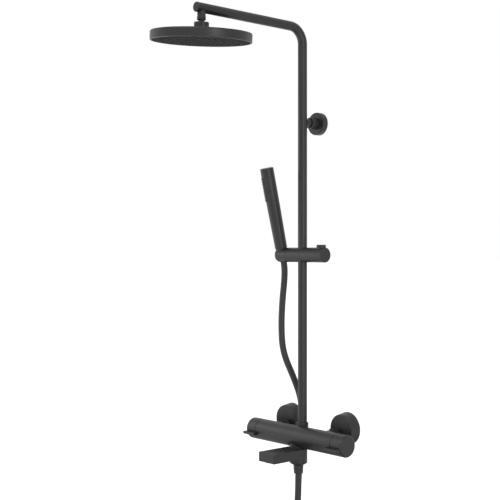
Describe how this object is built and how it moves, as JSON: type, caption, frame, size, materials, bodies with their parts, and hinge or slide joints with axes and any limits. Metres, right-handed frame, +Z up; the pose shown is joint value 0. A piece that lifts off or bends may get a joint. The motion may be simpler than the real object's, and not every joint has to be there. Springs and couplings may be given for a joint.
{
  "type": "rainfall shower column",
  "caption": "Matte black wall shower column with a bent riser, round rain head on a ball joint, sliding holder, stick handset, hose, bar mixer and swivel bath spout.",
  "frame": {"origin": "midway between the two wall outlets' axes, on the wall plane", "axes": "+Z up along the riser, -Y out of the wall towards the user, +X to the right of a person facing the wall"},
  "size_m": [0.2874, 0.4402, 1.3098],
  "materials": {
    "matte_black": "satin black electroplate over brass and steel",
    "hose_black": "smooth satin black sheath",
    "nozzle_rubber": "soft dark silicone",
    "black_plastic": "satin moulded plastic",
    "raw_brass": "machined brass",
    "steel": "plain stainless",
    "white_plastic": "low-friction moulded plastic",
    "seal_rubber": "soft black rubber"
  },
  "bodies": {
    "column": {"mixer_body": "matte_black", "thermostatic_cartridge": "raw_brass", "diverter_cartridge": "raw_brass", "cartridge_nuts": "raw_brass", "left_s_union": "matte_black", "right_s_union": "matte_black", "left_union_nut": "matte_black", "right_union_nut": "matte_black", "left_rosette": "matte_black", "right_rosette": "matte_black", "check_valves": "white_plastic", "inlet_filters": "seal_rubber", "riser_pipe": "matte_black", "arm_end_plug": "matte_black", "riser_foot_nut": "matte_black", "arm_nipple": "matte_black", "ball_stud": "matte_black", "bracket_neck": "matte_black", "bracket_collar": "matte_black", "bracket_grub_screw": "steel", "bracket_rosette": "matte_black", "bracket_wall_plate": "steel", "bracket_wall_screws": "steel", "spout_core": "raw_brass", "spout_o_rings": "seal_rubber", "hub_end_cap": "matte_black", "lower_hose_nut": "matte_black", "lower_hose_washer": "seal_rubber", "shower_hose": "hose_black"},
    "flow_control": {"flow_handle": "matte_black", "flow_lever": "matte_black", "flow_grub_screw": "steel", "flow_spindle": "raw_brass"},
    "temperature_control": {"temperature_handle": "matte_black", "temperature_lever": "matte_black", "temperature_grub_screw": "steel", "temperature_spindle": "raw_brass"},
    "spout": {"bath_spout": "matte_black", "aerator": "black_plastic"},
    "upper_seat": {"ball_seat_upper": "white_plastic"},
    "lower_seat": {"ball_seat_lower": "white_plastic"},
    "rain_head": {"head_shell": "matte_black", "socket_nut": "matte_black", "spray_face": "black_plastic", "rain_nozzles": "nozzle_rubber", "face_gasket": "seal_rubber", "flow_regulator": "white_plastic"},
    "slider": {"slider_body": "matte_black", "slider_bush": "white_plastic", "button_spring": "steel"},
    "button": {"slider_button": "matte_black"},
    "brake": {"brake_shoe": "white_plastic"},
    "holder": {"handset_holder": "matte_black", "holder_pivot_pin": "steel"},
    "handset": {"handset_shell": "matte_black", "handset_spray_strip": "nozzle_rubber", "handset_end_cap": "matte_black", "hose_cone_nut": "matte_black", "upper_hose_washer": "seal_rubber"}
  },
  "joints": [
    {"name": "flow_turn", "type": "hinge", "parent": "column", "child": "flow_control", "pos_m": [-0.127, -0.064, -0.0216], "axis": [1, 0, 0], "range_deg": [-90, 90]},
    {"name": "temperature_turn", "type": "hinge", "parent": "column", "child": "temperature_control", "pos_m": [0.127, -0.064, -0.0216], "axis": [1, 0, 0], "range_deg": [-110, 80]},
    {"name": "spout_swivel", "type": "hinge", "parent": "column", "child": "spout", "pos_m": [0, -0.064, -0.06], "axis": [0, 0, 1], "range_deg": [-75, 75]},
    {"name": "head_tilt_side", "type": "hinge", "parent": "column", "child": "upper_seat", "pos_m": [0, -0.325, 0.8095], "axis": [0, 1, 0], "range_deg": [-17.8, 6.2]},
    {"name": "head_tilt_front", "type": "hinge", "parent": "upper_seat", "child": "lower_seat", "pos_m": [0, -0.325, 0.8095], "axis": [1, 0, 0], "range_deg": [-14.6, 9.4]},
    {"name": "head_spin", "type": "hinge", "parent": "lower_seat", "child": "rain_head", "pos_m": [0, -0.325, 0.8095], "axis": [0.1014, -0.0463, 0.9938], "continuous": true},
    {"name": "slider_travel", "type": "slide", "parent": "column", "child": "slider", "axis": [0, 0, 1], "range_m": [-0.2, 0.22], "deforming": ["shower_hose"]},
    {"name": "button_press", "type": "slide", "parent": "slider", "child": "button", "axis": [0, 0, -1], "range_m": [0, 0.003], "stiffness_N_per_m": 600, "springref_m": -0.002, "deforming": ["button_spring"]},
    {"name": "brake_release", "type": "slide", "parent": "slider", "child": "brake", "axis": [1, 0, 0], "range_m": [0, 0.0006]},
    {"name": "holder_tilt", "type": "hinge", "parent": "slider", "child": "holder", "pos_m": [-0.0535, -0.052, 0.363], "axis": [1, 0, 0], "range_deg": [-20, 45]},
    {"name": "handset_lift", "type": "slide", "parent": "holder", "child": "handset", "axis": [0, -0.2419, 0.9703], "range_m": [0, 0.06]}
  ],
  "couplings": [
    {"joint": "brake_release", "follows": "button_press", "ratio": 0.2}
  ]
}
